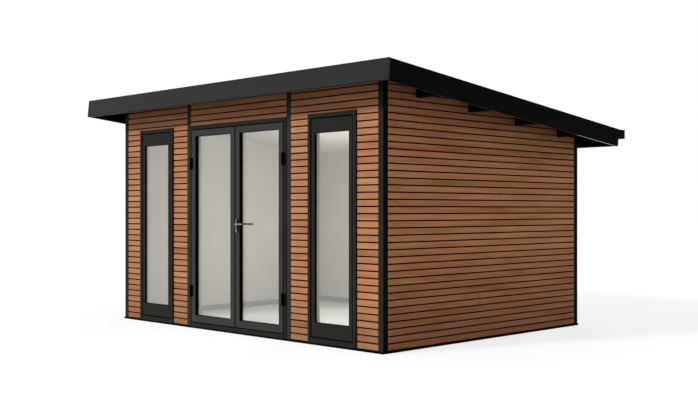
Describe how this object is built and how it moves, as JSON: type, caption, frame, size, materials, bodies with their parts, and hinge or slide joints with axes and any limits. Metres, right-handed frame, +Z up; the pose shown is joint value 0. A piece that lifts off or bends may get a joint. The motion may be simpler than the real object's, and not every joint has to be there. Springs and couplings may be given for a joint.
{
  "type": "garden room",
  "caption": "Small timber-slatted garden building with a mono-pitch roof, a pair of glazed doors that open outwards and full-height side windows.",
  "frame": {"origin": "middle of the footprint, on the ground plane that the base rests on", "axes": "+X right along the front, +Y from the front towards the back, +Z up"},
  "size_m": [4.636, 3.7783, 2.474],
  "materials": {
    "cladding": "horizontal timber slats, oiled",
    "black_metal": "satin powder coat",
    "anthracite_metal": "satin powder coat",
    "glass": "clear double glazing",
    "lining": "pale painted lining board",
    "skirting": "grey moulded skirting",
    "floor": "pale sealed floor board",
    "roof_sheet": "dark rubber roof sheet",
    "black_timber": "black stained timber",
    "door_steel": "satin stainless steel"
  },
  "bodies": {
    "building": {"base": "black_metal", "floor": "floor", "skirting": "skirting", "front_wall_piers": "lining", "front_wall_header": "lining", "back_wall": "lining", "left_wall": "lining", "right_wall": "lining", "ceiling": "lining", "front_cladding_panels": "cladding", "front_cladding_top": "cladding", "back_cladding": "cladding", "left_cladding": "cladding", "right_cladding": "cladding", "corner_posts": "black_metal", "door_trims": "black_metal", "window_jambs": "anthracite_metal", "window_heads_and_sills": "anthracite_metal", "window_sash_stiles": "anthracite_metal", "window_sash_rails": "anthracite_metal", "window_panes": "glass", "door_jambs": "anthracite_metal", "door_head": "anthracite_metal", "door_threshold": "black_metal", "door_stops": "black_metal", "frame_hinges": "black_metal", "purlins": "black_timber", "roof_deck": "black_timber", "roof_sheet": "roof_sheet", "front_fascia": "anthracite_metal", "back_fascia": "black_metal", "left_fascia": "black_metal", "right_fascia": "black_metal", "gutter": "black_metal", "gutter_brackets": "black_metal"},
    "left_door": {"left_door_stiles": "anthracite_metal", "left_door_rails": "anthracite_metal", "left_door_pane": "glass", "left_door_hinges": "black_metal"},
    "right_door": {"right_door_stiles": "anthracite_metal", "right_door_rails": "anthracite_metal", "right_door_pane": "glass", "right_door_hinges": "black_metal", "handle_plates": "door_steel"},
    "lever": {"lever_handle": "door_steel"}
  },
  "joints": [
    {"name": "left_door_swing", "type": "hinge", "parent": "building", "child": "left_door", "pos_m": [-0.7245, -1.549, 1.0525], "axis": [0, 0, -1], "range_deg": [0, 100]},
    {"name": "right_door_swing", "type": "hinge", "parent": "building", "child": "right_door", "pos_m": [0.7245, -1.549, 1.0525], "axis": [0, 0, 1], "range_deg": [0, 100]},
    {"name": "lever_turn", "type": "hinge", "parent": "right_door", "child": "lever", "pos_m": [0.036, -1.512, 1.092], "axis": [0, 1, 0], "range_deg": [0, 45], "stiffness_Nm_per_rad": 0.8, "springref_deg": -11.46}
  ]
}
